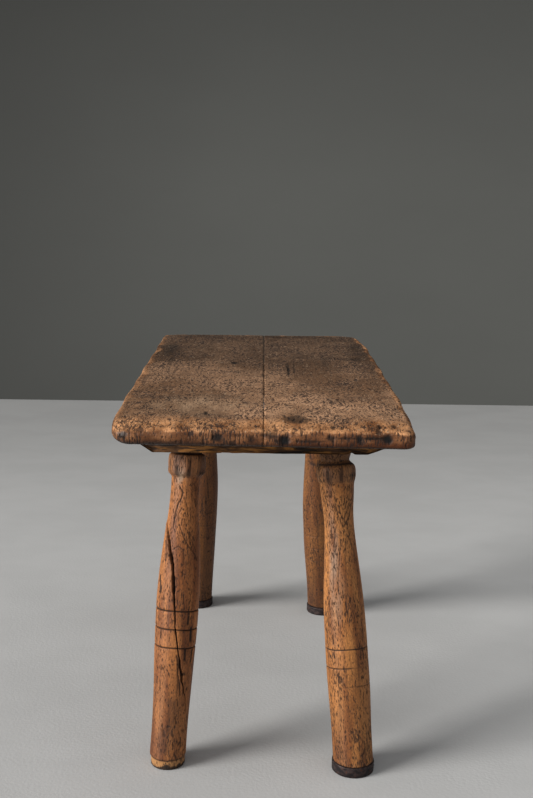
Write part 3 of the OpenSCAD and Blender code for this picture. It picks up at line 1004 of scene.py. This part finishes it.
class LegSkin:
    """A leg's surface, unrolled: where each point is, how deep it is carved, how much dirt and
    painted shade darken it, how pale bare wood and a painted sheen make it, and how weathered
    and ochre it is. Every method works on all the points at once."""

    def __init__(self, leg):
        self.leg = leg
        self.axis = AXES[leg]
        self.turning = Turning(leg)
        columns = leg_columns(leg == WORN_LEG)
        rows = leg_rows(self.axis, self.turning)
        self.shape = len(rows), len(columns)
        columns = np.tile(columns, len(rows))
        self.up, self.radius, self.level, self.over_foot = np.repeat(rows, self.shape[1], axis=0).T
        self.from_crack = columns * STANDARD_RADIUS
        path = np.array(CRACK_PATH[::-1])
        twist = np.radians(np.interp(self.up, *path.T)) if leg == WORN_LEG else 0
        self.angle = columns + twist
        turn = (self.angle + math.pi) % (2 * math.pi) - math.pi
        self.across = turn * STANDARD_RADIUS
        around = np.sin(self.angle) * STANDARD_RADIUS, -np.cos(self.angle) * STANDARD_RADIUS
        self.flat = np.stack([*around, self.up], -1)
        self.on_shaft = ramp(self.up, FOOT_TOP - 0.5, FOOT_TOP + 2) * (self.up < self.axis.length)
        self.carved = np.zeros(len(self.up))
        self.dirt_and_shade = np.zeros(len(self.up))

    def noise(self, size, seed):
        """Noise whose lumps have this size up the leg and round it."""
        return noise(self.flat, size, seed)

    def carve(self, depth, darkness, strength):
        """Carves to a depth and darkens, where strength is 1, and less where it is less."""
        self.carved += depth * strength
        self.dirt_and_shade = np.maximum(self.dirt_and_shade, darkness * strength)

    def wear(self):
        """Slow bumps from years of use, and open pores in patches."""
        bumps = 0.3 * self.noise((24, 24, 60), 101) + 0.14 * self.noise((7, 7, 26), 102)
        bumps += 0.09 * self.noise((2.4, 2.4, 30), 103)
        patches = 0.35 * self.noise((15, 15, 40), 105)
        self.pores = ramp(self.noise((1.2, 1.2, 5), 104) + patches, 0.6, 0.95)
        self.carved += 0.15 * self.pores - bumps

    def cut_rings(self):
        """The incised rings, clearest on one side of the leg."""
        depth, half_width, patchiness, looks = RINGS[self.leg]
        for ring, (darkness, clearest) in zip(self.turning.rings, looks):
            facing = 0.5 + 0.5 * np.cos(self.angle - math.radians(clearest))
            clear = ramp(facing + 0.3 * self.noise((9, 9, 11), 106), 0.2, 0.75)
            fading = 1 - patchiness * (1 - clear)
            place = ring + 0.5 * self.noise((14, 14, 400), 107)
            groove = np.exp(-np.abs((self.up - place) / half_width) ** 2.5) * fading
            self.carve(depth, darkness, groove)

    def scratch(self):
        """The scars: each a bent line with a ragged width."""
        ragged = 1 + 0.45 * self.noise((3, 3, 4), 108)
        for half_width, depth, darkness, course in LEG_SCARS[self.leg]:
            spots = [(up, math.radians(turn) * STANDARD_RADIUS) for up, turn in course]
            nearest = np.full(len(self.up), np.inf)
            for (up, across), (next_up, next_across) in itertools.pairwise(spots):
                rise, run = next_up - up, next_across - across
                share = (self.up - up) * rise + (self.across - across) * run
                share = np.clip(share / (rise**2 + run**2), 0, 1)
                away = np.hypot(self.up - up - share * rise, self.across - across - share * run)
                nearest = np.minimum(nearest, away)
            self.carve(depth, darkness, np.exp(-(nearest / half_width * ragged) ** 2.5))

    def weather(self):
        """Painted shade on the neck and a painted shadow line at the collar's top, striations
        round the collar, dirt round the foot, pale patches, one worn bare and one a painted sheen,
        and the ochre wood where a ferrule was."""
        low, high = self.turning.collar
        self.neck = ramp(self.up, high - 0.5, high + 2)
        self.weathered = ramp(self.up, low - 4, low + 1)
        # Painted shade darkens the neck, and a painted shadow line lies along the top of the collar
        self.carve(0, 0.3, self.neck * self.on_shaft)
        self.carve(0, 0.95, hump(self.up, high + 1.2, 1.2))
        marks = self.noise((1.7, 1.7, 14), 109) + 0.8 * self.noise((7, 7, 9), 111)
        striae = ramp(marks, 0.1, 0.65) * self.weathered * (1 - self.neck)
        self.carve(0.3, 0.7, striae)
        self.bare_and_sheen = np.zeros(len(self.up))
        # The front right leg's pale patch is a painted sheen on its lit left front; the front
        # left's is worn bare
        if self.leg in BARE_AND_SHEEN_PATCHES:
            above, aside, tall, wide, strength = BARE_AND_SHEEN_PATCHES[self.leg]
            patch = hump(self.up, self.turning.cove + above, tall) * hump(self.across, aside, wide)
            self.bare_and_sheen = strength * patch * ramp(self.noise((5, 5, 22), 110), -0.4, 0.5)
        self.ochre = ramp(self.up, FOOT_TOP, FOOT_TOP - 1.5) * (self.leg == WORN_LEG)
        self.carve(0, 0.95, ramp(self.up + 4 * self.noise((5, 5, 5), 112), 5.0, 3.0) * self.ochre)
        self.carve(0, 0.8, hump(self.up, FOOT_TOP, 1.0))

    def open_crack(self):
        """The long crack, with the sliver on its left standing proud of the wood on its right."""
        round_leg = 2 * math.pi * STANDARD_RADIUS
        offset = (self.from_crack + round_leg / 2) % round_leg - round_leg / 2
        half_width = np.interp(self.up, *np.array(CRACK_WIDTH).T)
        half_width = half_width * (1 + 0.4 * noise(np.outer(self.up, (0, 0, 1)), 5, 113))
        opening = 1 - ramp(np.abs(offset), 0.6 * half_width, 1.2 * half_width + 0.05)
        opening *= half_width > 0.05
        self.carve(4.2 * np.clip(half_width, 0, 1), 1.0, opening)
        sliver = ramp(self.up, 140, 185) * (1 - ramp(self.up, 228, 234)) * (1 - opening)
        self.carved -= 1.1 * sliver * np.exp(np.minimum(offset, 0) / 8) * (offset < 0)
        self.carved += 0.5 * sliver * np.exp(-np.maximum(offset, 0) / 5) * (offset > 0)

    def bruise_collar(self, radius):
        """Flats round the collar: no point there is farther out than they are."""
        low = self.turning.collar[0]
        on_collar = (ramp(self.up, low - 3, low) * (1 - self.neck)) > 0.5
        for degrees, distance in COLLAR_FLATS:
            facing = np.cos(self.angle - math.radians(degrees))
            limit = np.where(facing > 0.4, distance / np.maximum(facing, 0.4), np.inf)
            radius = np.where(on_collar, np.minimum(radius, limit - self.carved), radius)
        return radius

    def points(self, radius):
        """The skin rolled up round the leg's axis."""
        axis = self.axis
        normal = axis.direction * (1 - self.level[:, None]) + np.outer(self.level, (0, 0, 1))
        normal /= np.linalg.norm(normal, axis=1, keepdims=True)
        aside = np.array([1, 0, 0]) - normal[:, :1] * normal
        aside /= np.linalg.norm(aside, axis=1, keepdims=True)
        back = np.cross(normal, aside)
        standing = axis.foot + np.outer(self.up, (0, 0, 1))
        centre = np.where(self.over_foot[:, None] > 0, standing, axis.at(self.up))
        outward = np.sin(self.angle)[:, None] * aside - np.cos(self.angle)[:, None] * back
        return centre + radius[:, None] * outward


def turn_leg(leg):
    """A leg's points, faces and attributes."""
    skin = LegSkin(leg)
    skin.wear()
    skin.cut_rings()
    skin.scratch()
    skin.weather()
    if leg == WORN_LEG:
        skin.open_crack()
    radius = skin.radius - skin.on_shaft * skin.carved
    if leg == WORN_LEG:
        radius = skin.bruise_collar(radius)

    grain = np.stack([radius * np.sin(skin.angle), -radius * np.cos(skin.angle), skin.up], -1)
    # The pith runs slantwise past the leg's axis, so that growth rings show as long arches
    pith = np.array([9 + 0.03 * skin.up, 14 - 0.05 * skin.up]).T
    growth = np.linalg.norm(grain[:, :2] - pith, axis=1) + 1.2 * noise(grain, (14, 14, 60), 111)
    attributes = {
        "grain": grain * METRES, "growth": growth, "dirt_and_shade": skin.dirt_and_shade, "bare_and_sheen": skin.bare_and_sheen,
        "ochre": skin.ochre, "weathered": skin.weathered, "carved": skin.pores * skin.on_shaft,
    }
    number = np.arange(len(skin.up)).reshape(skin.shape)
    faces = sheet_faces(np.concatenate([number, number[:, :1]], 1))
    faces += [number[0][::-1].tolist(), number[-1].tolist()]
    return skin.points(radius), faces, attributes


def leg_material(name, dark, light, smooth):
    """Turned wood between two colours, with growth rings, streaks and pores up the leg."""
    wood = Shader(name)
    grain = wood.attribute("grain", "Vector")
    ring = wood.math("FRACT", wood.times(wood.attribute("growth"), 0.42))
    late = wood.times(wood.ramp(ring, 0.45, 0.9), wood.ramp(ring, 1.0, 0.9))
    broad = wood.noise(grain, (90, 90, 14))
    colour = wood.mix(wood.ramp(broad, 0.34, 0.66), dark, light)
    streaks = wood.noise(grain, (700, 700, 24))
    streak_tone = wood.ramp(streaks, 0.3, 0.7, 0.0, 0.26)
    figure = wood.plus(wood.times(late, 0.18), streak_tone)
    tone = wood.ramp(figure, 0.0, 0.65, 1.17, 0.6)
    colour = wood.tint(colour, tone)
    mottle = wood.ramp(wood.noise(grain, (900, 900, 420)), 0.3, 0.7, 0.75, 1.25)
    colour = wood.tint(colour, mottle)
    lower = wood.ramp(wood.along(grain, (0, 0, 1)), 0.03, 0.15, 0.78, 1.0)
    colour = wood.tint(colour, lower)
    # Bare wood, and a painted sheen on the front right leg's lit left front, turn the colour pale
    colour = wood.mix(wood.attribute("bare_and_sheen"), colour, srgb(150, 126, 104))
    colour = wood.mix(wood.attribute("ochre"), colour, srgb(158, 112, 66))
    weathered = wood.times(wood.attribute("weathered"), 0.45)
    colour = wood.mix(weathered, colour, srgb(86, 62, 42))
    clumps = wood.ramp(wood.noise(grain, (50, 50, 22)), 0.3, 0.7, -0.07, 0.06)
    low_down = wood.ramp(wood.along(grain, (0, 0, 1)), 0.07, 0.02, 0.0, 0.03)
    flecks = wood.noise(grain, (1000, 1000, 240), detail=2.0)
    crowded = wood.plus(flecks, wood.plus(clumps, low_down))
    pores = wood.ramp(crowded, 0.565 + smooth, 0.625 + smooth)
    pores = wood.larger(pores, wood.ramp(wood.attribute("carved"), 0.25, 0.8))
    colour = wood.mix(wood.times(pores, 0.8), colour, srgb(36, 24, 17))
    dirt_and_shade = wood.attribute("dirt_and_shade")
    # Dirt, rings and scars, and painted shade at the neck and collar, darken the colour
    colour = wood.mix(dirt_and_shade, colour, srgb(22, 15, 12))
    roughness = wood.ramp(wood.larger(pores, dirt_and_shade), 0.0, 1.0, 0.6, 0.9)
    height = wood.minus(wood.times(streaks, 0.3), pores)
    return wood.finish(colour, roughness, height, 0.0003, specular=0.4)


# Each leg's dark and light wood, and how free of pores it is. The rear left leg's darker wood is
# in part a painted shade.
LEG_LOOKS = {
    "front_left": (srgb(106, 57, 20), srgb(156, 98, 50), 0.022),
    "front_right": (srgb(116, 66, 24), srgb(160, 104, 52), 0.0),
    # Darker in part as a painted shade of the rear left leg
    "rear_left": (srgb(84, 46, 14), srgb(106, 63, 22), 0.02),
    "rear_right": (srgb(90, 50, 18), srgb(118, 73, 32), 0.02),
}


def make_legs():
    """The four legs, each in its own wood."""
    for leg, (dark, light, smooth) in LEG_LOOKS.items():
        points, faces, attributes = turn_leg(leg)
        material = leg_material(f"leg_wood_{leg}", dark, light, smooth)
        node = f"leg_{leg}"
        make_piece(f"{node}_worn", points, faces, material, node, attributes)


# ---------------- iron

# Columns round a ferrule's mesh, and rows up its outer wall
FERRULE_COLUMNS = 132
FERRULE_ROWS = 9


def iron_material():
    """Dull black forged iron with spots of rust."""
    iron = Shader("iron")
    place = iron.place()
    scale = iron.noise(place, (180, 180, 260), detail=4.0, roughness=0.6)
    colour = iron.mix(iron.ramp(scale, 0.4, 0.65), srgb(36, 31, 32), srgb(66, 54, 52))
    rust = iron.noise(place, (420, 420, 420))
    colour = iron.mix(iron.ramp(rust, 0.58, 0.72, 0.0, 0.7), colour, srgb(88, 52, 36))
    pits = iron.ramp(iron.dots(place, (900, 900, 900)), 0.0, 0.35)
    height = iron.plus(scale, iron.times(pits, 0.5))
    roughness = iron.ramp(rust, 0.35, 0.7, 0.42, 0.8)
    return iron.finish(colour, roughness, height, 0.0004, metallic=0.6)


def make_ferrule(leg, material):
    """A hammered band: its section, walked once round, swept round the foot."""
    axis = AXES[leg]
    node = f"ferrule_{leg}"
    low, high = node_box(node)
    outer = (high[0] - low[0]) / 2
    inner = axis.foot_radius
    top = high[2]
    # The section's points, up the inside, over the top and down the outside
    wall = [(outer, height) for height in np.linspace(1.0, top - 0.9, FERRULE_ROWS)]
    section = [(inner, 0.2), (inner, top / 2), (inner, top - 0.2), (inner + 0.4, top)]
    section += [(outer - 0.9, top), (outer - 0.3, top - 0.3), *wall[::-1]]
    section += [(outer - 0.3, 0.3), (outer - 0.9, 0), (inner + 0.4, 0)]
    radius, height = np.array(section).T[:, :, None]
    angle = np.linspace(0, 2 * math.pi, FERRULE_COLUMNS, endpoint=False)[None]
    radius, height, angle = np.broadcast_arrays(radius, height, angle)
    spot = np.stack([outer * np.sin(angle), outer * np.cos(angle), height], -1).reshape(-1, 3)
    spot = spot + low
    dents = 0.3 * (1 + noise(spot, (6, 6, 5), 121)) + 0.12 * (1 + noise(spot, 2.2, 122))
    outside = ramp(radius, inner + 0.6, outer - 0.4).ravel()
    worn_radius = radius.ravel() - outside * dents
    upper = ramp(height, top - 2, top).ravel() * outside
    worn_height = height.ravel() - upper * 0.35 * (1 + noise(spot, (8, 8, 40), 123))
    turn = angle.ravel()
    around = worn_radius * np.sin(turn), worn_radius * np.cos(turn)
    points = np.stack([axis.foot[0] + around[0], axis.foot[1] + around[1], worn_height], -1)
    number = np.arange(len(points)).reshape(radius.shape)
    number = np.concatenate([number, number[:, :1]], 1)
    faces = sheet_faces(np.concatenate([number, number[:1]], 0))
    make_piece(f"{node}_forged", points, faces, material, node, {})


def make_iron():
    """The ferrules, and the finish of the nails, which are the CAD's own."""
    material = iron_material()
    for leg in SHOD_LEGS:
        make_ferrule(leg, material)
    for end in BATTEN_BEVELS:
        nails = frame["nodes"][f"batten_nails_{end}"].data
        nails.materials.clear()
        nails.materials.append(material)


# ---------------- finish

make_camera()
make_studio()
make_boards()
make_battens()
make_legs()
make_iron()
